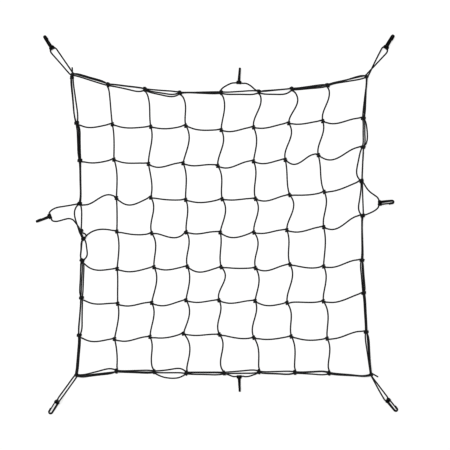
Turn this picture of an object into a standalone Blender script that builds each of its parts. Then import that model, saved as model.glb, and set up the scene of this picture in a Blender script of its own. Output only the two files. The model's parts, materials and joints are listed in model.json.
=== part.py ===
"""An elastic cargo net with eight plastic snap hooks, lying flat and slack on a floor.

Units are metres, +Z is up, +Y is the net's back edge. The origin is on the floor under the
middle of the whole net, hooks included. Tables are in whole millimetres and are scaled by MM.
"""

import math

import bmesh
import bpy
import numpy as np
from mathutils import Euler, Matrix, Vector

MM = 0.001

# Cord
CORD_RADIUS = 2.0 * MM
GAP = 0.3 * MM
# Least distance between the middles of two cords.
CORD_SPACING = 2 * CORD_RADIUS + GAP + 0.05 * MM
# How a cord is laid: places tested on each of its straight stretches, and the most rounds of lifting.
LAY_SAMPLES = 25
LAY_ROUNDS = 40

# Net
CELLS = 8
CELL_X = 110 * MM
CELL_Y = 109 * MM
MIDDLE_KNOT = (12 * MM, -20 * MM)  # where the middle knot would be if the grid were even
MESH_END = 6.6 * MM  # a mesh cord ends this far inside the middle of the edge bundle
CORNER_RADIUS = 7.0 * MM
CORNER_HEIGHT = 9.2 * MM
# Where the hook cord leaves an edge, its run stops this far short of the knot's middle, and the
# side loop that it goes on as starts this far beyond it.
RUN_GAP = 1.0 * MM
LOOP_START = 3.0 * MM

# Snap hook, in its own frame: X along the hook from the cord eye to the tip, Z from spine to
# gate, Y along the eye's bore. Z is 0 at the middle of the hook.
HOOK_LENGTH = 46 * MM
HOOK_HALF = 7.5 * MM
EYE_Z = -1.9 * MM
BODY_WIDTH = 9.0 * MM
TIP_WIDTH = 5.5 * MM
SPINE_TOP = -3.6 * MM
NOSE_INNER = 3.5 * MM
LIP_UNDERSIDE = 6.2 * MM
NOSE_BACK = 31.0 * MM
LIP_BACK = 27.5 * MM
EYE_INNER_TIP = 39.6 * MM
BLOCK_BACK = -2.5 * MM
BLOCK_FRONT = 6.0 * MM
BLOCK_TOP = 6.8 * MM
SLOT_WIDTH = 5.2 * MM
SLOT_BACK = 1.0 * MM
SLOT_FLOOR = 2.2 * MM
SLOT_OVERCUT = 2 * MM  # how far the slot's cutter stands out of the block
CORNER_CUT = 1.5 * MM  # off the corners of the spine
BLOCK_FRONT_CUT = 1.0 * MM
BLOCK_BACK_CUT = 2.0 * MM
NOSE_WALL_GAP = 0.1 * MM  # the inside of the tip is this much tighter than the spine's top

# Gate: a tongue that turns in the block's slot and closes under the nose's lip
GATE_PIVOT = (3.6 * MM, 4.7 * MM)
GATE_ROOT_RADIUS = 1.9 * MM
GATE_TIP = NOSE_BACK - GAP
GATE_THICKNESS = 2.2 * MM
GATE_TOP = LIP_UNDERSIDE - GAP
GATE_WIDTH = 4.4 * MM
GATE_NECK = 1.5 * MM  # the tongue starts this far beyond its round root
GATE_TIP_CUT = (1.0 * MM, 0.8 * MM)  # off the corner of its tip, along and up

# Bore of the eye: (distance from the middle, radius, how far its middle moves towards the net)
BORE_SECTIONS = ((0, 2.8, 0), (2.5, 2.9, 0.1), (7.8, 4.5, 0.9))
# Outside of the eye, in the same columns.
EYE_SECTIONS = ((0, 4.8, 0), (4.0, 4.8, 0), (7.5, 5.6, 0))
EYE_SIDES = 10

# Knots, as whole millimetres that each has strayed from the even grid. One row of numbers for
# each row of knots, from the back edge to the front; one number for each column, left to right.
STRAY_X = (
    (-19, -19, -15, -17, 1, 8, 0, 0, 11),
    (-6, -6, 3, 1, 1, -9, -10, -15, 1),
    (4, -1, -4, -7, -10, -9, -21, -29, 0),
    (3, 7, 3, 1, 4, -3, -7, -10, -5),
    (15, 8, 6, 3, -2, -8, -16, -12, -1),
    (11, 9, 13, 6, 1, -3, -6, -12, -3),
    (9, 11, 6, 2, -6, -4, -15, -13, 2),
    (2, 1, 1, -6, -4, -8, -2, -1, 10),
    (-7, 7, 14, 3, 10, 8, 9, 5, 25),
)
STRAY_Y = (
    (48, 16, 2, -9, -8, -6, 3, 14, 42),
    (7, 4, -4, 0, -14, -6, 7, 14, 21),
    (0, 4, -10, -8, -16, -2, 4, 18, 41),
    (-25, -7, -5, -12, -10, -9, 2, 12, 46),
    (-25, -2, -7, -2, -4, -4, 3, 13, 47),
    (18, -8, -2, 0, -3, -5, 5, 0, 18),
    (11, -7, -4, 4, 4, 2, -5, 1, 26),
    (4, -7, -1, 10, 6, -3, 1, -6, 14),
    (-11, 2, 0, -4, -4, 0, -2, -4, -9),
)

# Slack cord bows between its knots. Each pair is how far it lies from the straight line a third
# and two thirds of the way along. Uprights run back to front and bow to the right (+X).
UPRIGHT_BOWS = (
    ((1, 0), (3, 2), (6, 4), (1, 1), (6, 4), (1, 0), (6, 4), (4, 4)),
    ((7, 3), (6, 2), (4, 6), (8, 0), (10, 5), (11, 7), (9, 4), (2, -5)),
    ((11, 5), (14, 9), (7, 4), (6, 2), (8, 1), (9, 6), (14, 10), (17, 10)),
    ((11, 6), (11, 4), (8, 3), (13, 8), (2, -2), (15, 3), (5, -4), (6, -6)),
    ((11, 2), (10, 7), (6, 0), (11, 4), (12, 3), (12, 8), (5, -4), (9, 5)),
    ((22, 10), (12, 2), (1, -2), (16, 7), (4, -1), (11, 3), (9, 3), (8, 4)),
    ((10, 1), (7, 0), (1, -3), (8, 2), (6, 4), (9, 4), (11, 6), (7, 1)),
)
# Cross cords run left to right and bow to the front (-Y).
CROSS_BOWS = (
    ((13, 8), (9, 6), (8, 7), (9, 6), (8, 3), (7, 3), (6, 3), (11, 2)),
    ((9, 7), (7, 3), (12, 4), (6, 0), (11, 2), (10, 5), (20, 4), (23, 6)),
    ((3, -13), (23, 15), (4, 4), (10, 8), (4, 1), (11, 4), (4, 5), (7, 4)),
    ((-20, -14), (6, 7), (9, 18), (7, 1), (17, 12), (6, 1), (10, 4), (17, 2)),
    ((20, 13), (12, 8), (11, 7), (18, 11), (3, 3), (13, 5), (6, 8), (8, -1)),
    ((13, 7), (9, 3), (13, 7), (8, 4), (10, 4), (13, 9), (0, 3), (12, 6)),
    ((16, 10), (10, 3), (8, 7), (6, 2), (5, 7), (8, 6), (9, 8), (4, -4)),
)
# The three cords of each edge, cell by cell, left to right or back to front; inward is positive.
# None is the cell where the hook cord leaves the edge as a loop.
EDGE_BOWS = {
    "back": {
        "selvedge": ((2, 3), (5, 8), (11, 16), (3, 3), (7, 7), (9, 12), (5, 5), (2, 2)),
        "border": ((-3, -3), (-3, -4), (6, 10), (-2, -2), (-1, -4), (-2, -3), (0, 0), (-3, -3)),
        "hook": ((-7, -6), (-2, -3), (-1, -2), (1, 1), None, (-3, -4), (1, 0), (-1, -6)),
    },
    "front": {
        "selvedge": ((2, 9), (2, 3), (7, 12), (2, 2), (3, 5), (1, 2), (2, 5), (0, -2)),
        "border": ((-3, -3), (-3, -5), (-1, -1), (-5, -6), (-3, -4), (-5, -7), (-4, -5), (-5, -7)),
        "hook": ((-9, -7), (-1, -2), (-16, -18), (1, 1), None, (-4, -6), (0, 0), (-3, -5)),
    },
    "left": {
        "selvedge": ((1, 5), (7, 4), (2, 2), (0, -4), (10, 14), (2, 4), (4, 5), (4, 4)),
        "border": ((-5, -6), (2, -1), (-2, -2), (-21, -17), (-6, -6), (-3, -3), (-2, -4), (-1, -1)),
        "hook": ((-6, -6), (-2, -1), (0, 0), None, (-7, -6), (-6, -8), (-2, -4), (1, 1)),
    },
    "right": {
        "selvedge": ((1, 2), (-1, -2), (9, 17), (3, 9), (2, 2), (6, 6), (4, 3), (5, 4)),
        "border": ((-4, -4), (-8, -10), (-2, -2), (-3, -3), (-3, -3), (-1, -1), (-1, -2), (-1, -1)),
        "hook": ((-2, -2), (-15, -18), (-2, -2), None, (0, -1), (-3, -3), (-3, -3), (-3, -3)),
    },
}
# How far inward each cord of the edge lies where it goes through a knot. The hook cord lies on
# top of the other two, in the groove between them.
AT_KNOT = {"selvedge": 2.2, "border": -2.2, "hook": 0.0}

# Hooks: middle of the cord eye (x, y), heading in degrees from +X, roll towards the right of the
# heading, and how far the tip points down.
HOOKS = {
    "back_left": {"eye": (-510, 545), "heading": 124, "roll": 25, "pitch": 2.4},
    "back_right": {"eye": (523, 547), "heading": 60, "roll": 25, "pitch": 2.4},
    "front_left": {"eye": (-493, -549), "heading": 238, "roll": 66, "pitch": 9.0},
    "front_right": {"eye": (528, -544), "heading": 309, "roll": -55, "pitch": 6.6},
    "back": {"eye": (68, 439), "heading": 86, "roll": 0, "pitch": 0},
    "front": {"eye": (69, -472), "heading": 272, "roll": 0, "pitch": 0},
    "left": {"eye": (-517, 25), "heading": 202, "roll": 6, "pitch": 0.8},
    "right": {"eye": (503, 66), "heading": 7, "roll": 45, "pitch": 4.2},
}
# A corner loop's two strands, left and right of the heading: where each meets the corner knot,
# as millimetres to the left of the heading and up from the floor.
CORNER_STRANDS = {
    "back_left": ((6, 5), (-4, 10)),
    "back_right": ((-3, 7), (3, 2)),
    "front_left": ((2, 7), (-3, 2)),
    "front_right": ((-1, 2), (-2, 7)),
}
# A corner loop where it goes through the eye: (along the bore, back towards the net)
CORNER_PASSAGE = ((10.9, 14), (10.9, 8.5), (10.4, 5.6), (8.9, 2.9), (6.2, 0.8), (2.5, 0))
SIDE_PASSAGE = ((11, 1.8), (6.5, 0.4), (2.5, 0))
# A side loop's route (x, y) from its first knot to the eye, and from the eye to its last knot.
SIDE_ROUTES = {
    "back": (
        ((12, 418), (19, 429), (33, 437), (47, 440)),
        ((89, 437), (100, 432), (112, 422), (121, 414)),
    ),
    "front": (
        ((31, -463), (43, -469), (53, -472)),
        ((87, -472), (99, -470), (110, -466), (121, -461)),
    ),
    "left": (
        ((-438, 62), (-455, 59), (-473, 56), (-496, 52), (-511, 45)),
        (
            (-510, 11),
            (-498, 9),
            (-484, 12),
            (-470, 16),
            (-458, 18),
            (-447, 15),
            (-437, 6),
            (-430, -6),
        ),
    ),
    "right": (
        ((456, 125), (465, 111), (475, 100), (488, 90), (497, 83)),
        ((499, 51), (488, 42), (474, 35), (462, 30)),
    ),
}
ROUTE_SPACING = 13 * MM
# A corner loop's strand between the corner knot and the hook: how far along, and how far it has
# sunk from the straight line to the floor.
STRAND_SAG = ((0.42, 1.0), (0.7, 0.8))
LOOP_CELL = {"back": 4, "front": 4, "left": 3, "right": 3}
# The cord's two loose ends stick out of the corner knots: (heading in degrees, length from the
# knot's middle).
TAILS = {"back_left": (94, 23), "front_right": (-14, 24)}
TAIL_WAIST = 0.9  # a tail is this much narrower halfway along
KNOT_SIDES = 10
CORNER_KNOTS = {
    "back_left": (0, 0),
    "back_right": (0, CELLS),
    "front_left": (CELLS, 0),
    "front_right": (CELLS, CELLS),
}


def clear_scene():
    for obj in list(bpy.data.objects):
        bpy.data.objects.remove(obj, do_unlink=True)


def new_material(name, colour, roughness):
    material = bpy.data.materials.new(name)
    material.use_nodes = True
    shader = material.node_tree.nodes["Principled BSDF"]
    shader.inputs["Base Color"].default_value = (*colour, 1.0)
    shader.inputs["Roughness"].default_value = roughness
    shader.inputs["Metallic"].default_value = 0.0
    return material


def new_object(name, data, material):
    data.materials.append(material)
    obj = bpy.data.objects.new(name, data)
    bpy.context.scene.collection.objects.link(obj)
    return obj


# --- Cord lines -------------------------------------------------------------------------------


def knot(row, column):
    """Middle of a knot, on the floor."""
    x = MIDDLE_KNOT[0] + (column - CELLS / 2) * CELL_X + STRAY_X[row][column] * MM
    y = MIDDLE_KNOT[1] + (CELLS / 2 - row) * CELL_Y + STRAY_Y[row][column] * MM
    return Vector((x, y))


def bow_at(fraction, bow, end_offset):
    """Sideways distance from the straight line, by a cubic that passes through both bows."""
    first = bow[0] - end_offset
    second = bow[1] - end_offset
    handles = (3 * first - 1.5 * second, 3 * second - 1.5 * first)
    rest = 1 - fraction
    return end_offset + 3 * rest * rest * fraction * handles[0] + 3 * rest * fraction**2 * handles[1]


def unit_to_right(start, end):
    along = (end - start).normalized()
    return Vector((along.y, -along.x))


def bowed_line(knots, bows, steps, side=1, end_offset=0.0, trims=(0.0, 0.0)):
    """A cord's line through its knots. side is 1 for bows to the right of the way it runs and -1
    for bows to the left; steps are the fractions of each cell that get a point."""
    normals = [unit_to_right(a, b) * side for a, b in zip(knots, knots[1:])]
    at_knots = [normals[0]]
    at_knots += [(a + b).normalized() for a, b in zip(normals, normals[1:])]
    at_knots.append(normals[-1])
    last = len(bows) - 1
    points = []
    for cell, bow in enumerate(bows):
        start, end = knots[cell], knots[cell + 1]
        length = (end - start).length
        low = trims[0] / length if cell == 0 else 0.0
        high = 1 - trims[1] / length if cell == last else 1.0
        for step in (*steps, 1.0) if cell == last else steps:
            fraction = min(max(step, low), high)
            normal = at_knots[cell].lerp(at_knots[cell + 1], fraction).normalized()
            offset = bow_at(fraction, bow, end_offset) * MM
            points.append(start.lerp(end, fraction) + normal * offset)
    return points


def segments_of(points):
    array = np.array([tuple(point) for point in points])
    return array[:-1], array[1:]


def height_needed(places, laid):
    """How high a cord's middle must be at each place, to clear the segments already laid."""
    needed = np.full(len(places), CORD_RADIUS)
    for starts, ends in laid:
        low = np.minimum(starts, ends)[:, :2].min(0) - CORD_SPACING
        high = np.maximum(starts, ends)[:, :2].max(0) + CORD_SPACING
        near = np.flatnonzero(((places > low) & (places < high)).all(1))
        if not len(near):
            continue
        run = (ends - starts)[None]
        offset = places[near][:, None] - starts[None, :, :2]
        along = (offset * run[:, :, :2]).sum(2) / (run[:, :, :2] ** 2).sum(2)
        along = np.clip(along, 0, 1)
        apart = np.linalg.norm(offset - run[:, :, :2] * along[:, :, None], axis=2)
        height = starts[None, :, 2] + run[:, :, 2] * along
        over = height + np.sqrt(np.maximum(CORD_SPACING**2 - apart**2, 0))
        needed[near] = np.maximum(needed[near], np.where(apart < CORD_SPACING, over, 0).max(1))
    return needed


def lay(flat_points, laid, heights=None):
    """Lays a cord on the floor and over the cords already laid, and adds it to them. heights
    gives some points a height of their own; the others start on the floor."""
    flat = np.array([tuple(point)[:2] for point in flat_points])
    given = heights or [None] * len(flat)
    z = np.array([CORD_RADIUS if height is None else height for height in given])
    fractions = np.linspace(0, 1, LAY_SAMPLES)
    for _ in range(LAY_ROUNDS):
        worst = 0.0
        for index in range(len(flat) - 1):
            places = flat[index] + (flat[index + 1] - flat[index]) * fractions[:, None]
            lack = height_needed(places, laid) - (z[index] * (1 - fractions) + z[index + 1] * fractions)
            spot = int(lack.argmax())
            if lack[spot] <= 0:
                continue
            share = fractions[spot]
            scale = lack[spot] / ((1 - share) ** 2 + share**2)
            z[index] += scale * (1 - share)
            z[index + 1] += scale * share
            worst = max(worst, lack[spot])
        if worst < 0.01 * MM:
            break
    points = [Vector((*place, height)) for place, height in zip(flat, z)]
    laid.append(segments_of(points))
    return points


def smooth_route(route, spacing):
    """Points about spacing apart on a smooth curve through every point of the route."""
    padded = [2 * route[0] - route[1], *route, 2 * route[-1] - route[-2]]
    points = []
    for before, start, end, after in zip(padded, padded[1:], padded[2:], padded[3:]):
        count = max(1, round((end - start).length / spacing))
        for number in range(count):
            t = number / count
            points.append(
                0.5
                * (
                    2 * start
                    + (end - before) * t
                    + (2 * before - 5 * start + 4 * end - after) * t * t
                    + (3 * start - before - 3 * end + after) * t**3
                )
            )
    points.append(route[-1])
    return points


def cord(name, points, material, resolution):
    """A round cord as a bevelled curve with closed ends."""
    curve = bpy.data.curves.new(name, "CURVE")
    curve.dimensions = "3D"
    curve.bevel_depth = CORD_RADIUS
    curve.bevel_resolution = resolution
    curve.use_fill_caps = True
    spline = curve.splines.new("POLY")
    spline.points.add(len(points) - 1)
    for spline_point, point in zip(spline.points, points):
        spline_point.co = (*point, 1.0)
    return new_object(name, curve, material)


# --- The mesh and its edges -------------------------------------------------------------------

UPRIGHT_STEPS = (0.0, 0.33, 0.67)
CROSS_STEPS = (0.0, 0.12, 0.47, 0.88)
EDGE_STEPS = (0.0, 0.33, 0.67)


def side_knots(side):
    if side in ("back", "front"):
        row = 0 if side == "back" else CELLS
        return [knot(row, column) for column in range(CELLS + 1)]
    column = 0 if side == "left" else CELLS
    return [knot(row, column) for row in range(CELLS + 1)]


# Which way is inward from the way each edge runs: 1 is to the right of it.
INWARD = {"back": 1, "front": -1, "left": -1, "right": 1}


def make_edges(laid, material):
    """Each edge's mesh selvedge and border cord, between the corner knots."""
    trims = (CORNER_RADIUS + GAP, CORNER_RADIUS + GAP)
    for layer in ("selvedge", "border"):
        for side, tables in EDGE_BOWS.items():
            line = bowed_line(
                side_knots(side), tables[layer], EDGE_STEPS, INWARD[side], AT_KNOT[layer], trims
            )
            cord(f"{layer}_{side}", lay(line, laid), material, 1)


def make_mesh(laid, material):
    """The uprights on the floor and the cross cords over them, between the edges."""
    trims = (MESH_END, MESH_END)
    inner = range(1, CELLS)
    for number in inner:
        knots = [knot(row, number) for row in range(CELLS + 1)]
        line = bowed_line(knots, UPRIGHT_BOWS[number - 1], UPRIGHT_STEPS, -1, trims=trims)
        cord(f"mesh_upright_{number}", lay(line, laid), material, 1)
    for number in inner:
        knots = [knot(number, column) for column in range(CELLS + 1)]
        line = bowed_line(knots, CROSS_BOWS[number - 1], CROSS_STEPS, 1, trims=trims)
        cord(f"mesh_cross_{number}", lay(line, laid), material, 1)


def make_hook_runs(laid, material):
    """The hook cord where it follows the edge: one run each side of the side loop."""
    corner = CORNER_RADIUS + GAP
    for side, tables in EDGE_BOWS.items():
        knots = side_knots(side)
        cell = LOOP_CELL[side]
        bows = tables["hook"]
        for half, first, last, trims in (
            ("a", 0, cell, (corner, RUN_GAP)),
            ("b", cell + 1, CELLS, (RUN_GAP, corner)),
        ):
            line = bowed_line(
                knots[first : last + 1], bows[first:last], EDGE_STEPS, INWARD[side],
                AT_KNOT["hook"], trims,
            )
            cord(f"hook_cord_{side}_{half}", lay(line, laid), material, 1)


# --- Snap hooks -------------------------------------------------------------------------------


def extruded(outline, width, taper_to, name):
    """A closed solid: the outline (x, z) extruded along Y, narrowing towards the hook's tip."""
    shape = bmesh.new()
    rings = []
    for side in (-0.5, 0.5):
        ring = []
        for x, z in outline:
            part = min(max(x / HOOK_LENGTH, 0), 1)
            ring.append(shape.verts.new((x, side * (width + (taper_to - width) * part), z)))
        rings.append(ring)
    shape.faces.new(rings[0])
    shape.faces.new(rings[1][::-1])
    for index in range(len(outline)):
        following = (index + 1) % len(outline)
        shape.faces.new(
            (rings[0][index], rings[1][index], rings[1][following], rings[0][following])
        )
    bmesh.ops.recalc_face_normals(shape, faces=shape.faces)
    mesh = bpy.data.meshes.new(name)
    shape.to_mesh(mesh)
    shape.free()
    return mesh


def turned(sections, name):
    """A closed solid along Y, round about the cord eye: sections are (y, radius, shift in -X)."""
    shape = bmesh.new()
    both = [(-y, radius, shift) for y, radius, shift in reversed(sections[1:])] + list(sections)
    rings = []
    for y, radius, shift in both:
        ring = []
        for step in range(EYE_SIDES):
            angle = 2 * math.pi * (step + 0.5) / EYE_SIDES
            x = -shift * MM + radius * MM * math.cos(angle)
            ring.append(shape.verts.new((x, y * MM, EYE_Z + radius * MM * math.sin(angle))))
        rings.append(ring)
    for ring, following in zip(rings, rings[1:]):
        for step in range(EYE_SIDES):
            beside = (step + 1) % EYE_SIDES
            shape.faces.new((ring[step], ring[beside], following[beside], following[step]))
    shape.faces.new(rings[0])
    shape.faces.new(rings[-1][::-1])
    bmesh.ops.recalc_face_normals(shape, faces=shape.faces)
    mesh = bpy.data.meshes.new(name)
    shape.to_mesh(mesh)
    shape.free()
    return mesh


def arc(middle, radius, start, end, segments):
    """Points (x, z) of an arc, angles in degrees."""
    points = []
    for step in range(segments + 1):
        angle = math.radians(start + (end - start) * step / segments)
        points.append((middle + radius * math.cos(angle), radius * math.sin(angle)))
    return points


def hook_outline():
    """The hook's side view: spine, rounded tip, nose with its lip, and the gate's block."""
    inner_radius = -SPINE_TOP - NOSE_WALL_GAP
    return [
        (BLOCK_BACK, -HOOK_HALF + CORNER_CUT),
        (BLOCK_BACK + CORNER_CUT, -HOOK_HALF),
        *arc(HOOK_LENGTH - HOOK_HALF, HOOK_HALF, -90, 90, 7),
        (LIP_BACK, HOOK_HALF),
        (LIP_BACK, LIP_UNDERSIDE),
        (NOSE_BACK, LIP_UNDERSIDE),
        (NOSE_BACK, NOSE_INNER),
        *arc(EYE_INNER_TIP - inner_radius, inner_radius, 80, -80, 5),
        (BLOCK_FRONT + CORNER_CUT, SPINE_TOP),
        (BLOCK_FRONT, SPINE_TOP + CORNER_CUT),
        (BLOCK_FRONT, BLOCK_TOP - BLOCK_FRONT_CUT),
        (BLOCK_FRONT - BLOCK_FRONT_CUT, BLOCK_TOP),
        (BLOCK_BACK + BLOCK_BACK_CUT, BLOCK_TOP),
        (BLOCK_BACK, BLOCK_TOP - BLOCK_BACK_CUT),
    ]


def helper(name, mesh):
    """An object that only cuts or joins another: it isn't a piece of the net."""
    obj = bpy.data.objects.new(name, mesh)
    bpy.context.scene.collection.objects.link(obj)
    obj.hide_render = True
    obj.display_type = "WIRE"
    return obj


def box_mesh(low, high, name):
    shape = bmesh.new()
    bmesh.ops.create_cube(shape, size=1.0)
    size = Vector(high) - Vector(low)
    bmesh.ops.scale(shape, vec=size, verts=shape.verts)
    bmesh.ops.translate(shape, vec=(Vector(low) + Vector(high)) / 2, verts=shape.verts)
    mesh = bpy.data.meshes.new(name)
    shape.to_mesh(mesh)
    shape.free()
    return mesh


def hook_mesh():
    """The hook as one solid: body and cord eye joined, bore and gate slot cut out."""
    blank = helper("hook_blank", extruded(hook_outline(), BODY_WIDTH, TIP_WIDTH, "hook_blank"))
    slot_low = (SLOT_BACK, -SLOT_WIDTH / 2, SLOT_FLOOR)
    slot_high = (BLOCK_FRONT + SLOT_OVERCUT, SLOT_WIDTH / 2, BLOCK_TOP + SLOT_OVERCUT)
    steps = (
        ("UNION", turned(EYE_SECTIONS, "hook_eye")),
        ("DIFFERENCE", turned(BORE_SECTIONS, "hook_bore")),
        ("DIFFERENCE", box_mesh(slot_low, slot_high, "hook_slot")),
    )
    helpers = [blank]
    for operation, mesh in steps:
        tool = helper(mesh.name, mesh)
        helpers.append(tool)
        modifier = blank.modifiers.new(mesh.name, "BOOLEAN")
        modifier.operation = operation
        modifier.object = tool
    bpy.context.view_layer.update()
    finished = bpy.data.meshes.new_from_object(
        blank.evaluated_get(bpy.context.evaluated_depsgraph_get())
    )
    finished.name = "snap_hook"
    for obj in helpers:
        bpy.data.objects.remove(obj, do_unlink=True)
    return finished


def gate_mesh():
    """The gate's tongue, with its origin on the line that it turns about."""
    pivot_x, pivot_z = GATE_PIVOT
    bottom = GATE_TOP - GATE_THICKNESS
    root = arc(0, GATE_ROOT_RADIUS, 50, 310, 6)
    outline = [
        *root,
        (GATE_ROOT_RADIUS + GATE_NECK, bottom - pivot_z),
        (GATE_TIP - pivot_x - GATE_TIP_CUT[0], bottom - pivot_z),
        (GATE_TIP - pivot_x, bottom - pivot_z + GATE_TIP_CUT[1]),
        (GATE_TIP - pivot_x, GATE_TOP - pivot_z),
        (GATE_ROOT_RADIUS + GATE_NECK, GATE_TOP - pivot_z),
    ]
    return extruded(outline, GATE_WIDTH, GATE_WIDTH, "gate")


def hook_turn(place):
    return Euler(
        (math.radians(place["roll"]), math.radians(place["pitch"]), math.radians(place["heading"]))
    ).to_matrix()


def hook_origin(place, mesh):
    """Where the hook's own origin goes: its eye at the place given, its lowest point on the floor."""
    turn = hook_turn(place)
    lowest = min((turn @ vertex.co).z for vertex in mesh.vertices)
    eye = turn @ Vector((0, 0, EYE_Z))
    x, y = place["eye"]
    return Vector((x * MM - eye.x, y * MM - eye.y, -lowest))


def make_hooks(plastic, gate_plastic):
    """Every hook stands on an empty at its own origin; its gate's origin is on the gate's pivot."""
    hook = hook_mesh()
    hook.materials.append(plastic)
    gate = gate_mesh()
    gate.materials.append(gate_plastic)
    eyes = {}
    for name, place in HOOKS.items():
        mount = bpy.data.objects.new(f"hook_place_{name}", None)
        mount.matrix_world = Matrix.Translation(hook_origin(place, hook)) @ hook_turn(place).to_4x4()
        bpy.context.scene.collection.objects.link(mount)
        for kind, mesh, spot in (
            ("hook", hook, (0, 0, 0)),
            ("gate", gate, (GATE_PIVOT[0], 0, GATE_PIVOT[1])),
        ):
            obj = bpy.data.objects.new(f"{kind}_{name}", mesh)
            obj.parent = mount
            obj.location = spot
            bpy.context.scene.collection.objects.link(obj)
        eyes[name] = mount.matrix_world.copy()
    return eyes


# --- Corner knots and the loops that carry the hooks ------------------------------------------


def grow_tail(shape, heading, length):
    """Draws the loose end of a cord out of a corner knot, from the side that faces the heading."""
    way = Matrix.Rotation(math.radians(heading), 3, "Z") @ Vector((1, 0, 0))
    bmesh.ops.rotate(shape, matrix=Matrix.Rotation(math.radians(heading), 3, "Z"), verts=shape.verts)
    shape.normal_update()
    facing = math.cos(math.radians(180 / KNOT_SIDES))
    sides = [face for face in shape.faces if face.normal.dot(way) > facing]
    for scale in (TAIL_WAIST, 1.0):
        grown = bmesh.ops.extrude_face_region(shape, geom=sides)["geom"]
        tip = [item for item in grown if isinstance(item, bmesh.types.BMVert)]
        bmesh.ops.delete(shape, geom=sides, context="FACES_ONLY")
        sides = [item for item in grown if isinstance(item, bmesh.types.BMFace)]
        bmesh.ops.translate(shape, vec=way * (length * MM - CORNER_RADIUS) / 2, verts=tip)
        middle = sum((vertex.co for vertex in tip), Vector()) / len(tip)
        space = Matrix.Translation(-middle)
        bmesh.ops.scale(shape, vec=(scale, scale, 1), space=space, verts=tip)


def make_corner_knots(material):
    """The fist of cord at each corner; two of them end in the cord's loose tails."""
    for name, (row, column) in CORNER_KNOTS.items():
        shape = bmesh.new()
        bmesh.ops.create_uvsphere(
            shape, u_segments=KNOT_SIDES, v_segments=6, radius=CORNER_RADIUS
        )
        if name in TAILS:
            grow_tail(shape, *TAILS[name])
        flatten = CORNER_HEIGHT / 2 / CORNER_RADIUS
        bmesh.ops.scale(shape, vec=(1, 1, flatten), verts=shape.verts)
        bmesh.ops.recalc_face_normals(shape, faces=shape.faces)
        mesh = bpy.data.meshes.new(f"corner_knot_{name}")
        shape.to_mesh(mesh)
        shape.free()
        mesh.shade_smooth()
        obj = new_object(mesh.name, mesh, material)
        obj.location = (*knot(row, column), CORNER_HEIGHT / 2)


def through_eye(place, passage, side):
    """The passage's points on one side of the eye, +1 left of the heading or -1 right of it."""
    points = []
    for along, back in passage:
        points.append(place @ Vector((-back * MM, side * along * MM, EYE_Z)))
    return points


def corner_route(name, eye):
    """A corner loop, from the corner knot through the hook's eye and back."""
    middle = knot(*CORNER_KNOTS[name])
    toward = Vector((eye.translation.x, eye.translation.y)) - middle
    toward.normalize()
    left = Vector((-toward.y, toward.x))
    halves = []
    for side, (offset, height) in zip((1, -1), CORNER_STRANDS[name]):
        aside = max(abs(offset) * MM - CORD_RADIUS, 0)
        reach = math.sqrt((CORNER_RADIUS + GAP) ** 2 - aside**2)
        start = middle + toward * reach + left * offset * MM
        start = Vector((*start, height * MM))
        passage = through_eye(eye, CORNER_PASSAGE, side)
        strand = []
        for step, sunk in STRAND_SAG:
            point = start.lerp(passage[0], step)
            point.z += (CORD_RADIUS - point.z) * sunk
            strand.append(point)
        halves.append([start, *strand, *passage])
    eye_middle = eye @ Vector((0, 0, EYE_Z))
    return halves[0] + [eye_middle] + halves[1][::-1]


def side_route(name, eye):
    """A side loop, from its first knot out to the hook's eye and back to its next knot, and the
    places in it of the first and last points inside the eye."""
    before, after = SIDE_ROUTES[name]
    cell = LOOP_CELL[name]
    knots = side_knots(name)
    start = knots[cell] + (Vector(before[0]) * MM - knots[cell]).normalized() * LOOP_START
    end = knots[cell + 1] + (Vector(after[-1]) * MM - knots[cell + 1]).normalized() * LOOP_START
    # The loop enters the eye on the side nearer its start, so that its strands don't cross.
    first = -1 if eye.col[1].xy.dot(end - start) > 0 else 1
    inward = through_eye(eye, SIDE_PASSAGE, first)
    outward = through_eye(eye, SIDE_PASSAGE, -first)[::-1]
    flat_before = [Vector(point) * MM for point in before]
    flat_after = [Vector(point) * MM for point in after]
    through = [*inward, eye @ Vector((0, 0, EYE_Z)), *outward]
    first_inside = len(before) + 1
    route = [start, *flat_before, *through, *flat_after, end]
    return route, first_inside, first_inside + len(through) - 1


def make_loops(eyes, laid, material):
    for name in CORNER_KNOTS:
        route = corner_route(name, eyes[name])
        points = smooth_route(route, ROUTE_SPACING)
        for point in points:
            point.z = max(point.z, CORD_RADIUS)
        cord(f"loop_{name}", points, material, 2)
        laid.append(segments_of(points))
    for name in SIDE_ROUTES:
        route, first, last = side_route(name, eyes[name])
        route = [
            Vector((*point.xy, point.z if first <= index <= last else CORD_RADIUS))
            for index, point in enumerate(route)
        ]
        points = smooth_route(route, ROUTE_SPACING)
        cord(f"loop_{name}", lay(points, laid, [point.z for point in points]), material, 2)


def main():
    clear_scene()
    elastic = new_material("elastic_cord", (0.035, 0.035, 0.038), 0.75)
    plastic = new_material("hook_plastic", (0.012, 0.012, 0.013), 0.4)
    gate_plastic = new_material("gate_plastic", (0.012, 0.012, 0.013), 0.4)
    laid = []
    make_edges(laid, elastic)
    make_mesh(laid, elastic)
    make_hook_runs(laid, elastic)
    make_corner_knots(elastic)
    eyes = make_hooks(plastic, gate_plastic)
    make_loops(eyes, laid, elastic)


main()
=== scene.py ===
"""The looks of an elastic cargo net: braided cord, its knots, and moulded snap hooks.

Lengths are in metres, and tables in millimetres are scaled by MM. The net lies on the floor at
Z = 0.
"""

import json
import math

import bpy
import numpy as np
from mathutils import Matrix, Vector


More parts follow.
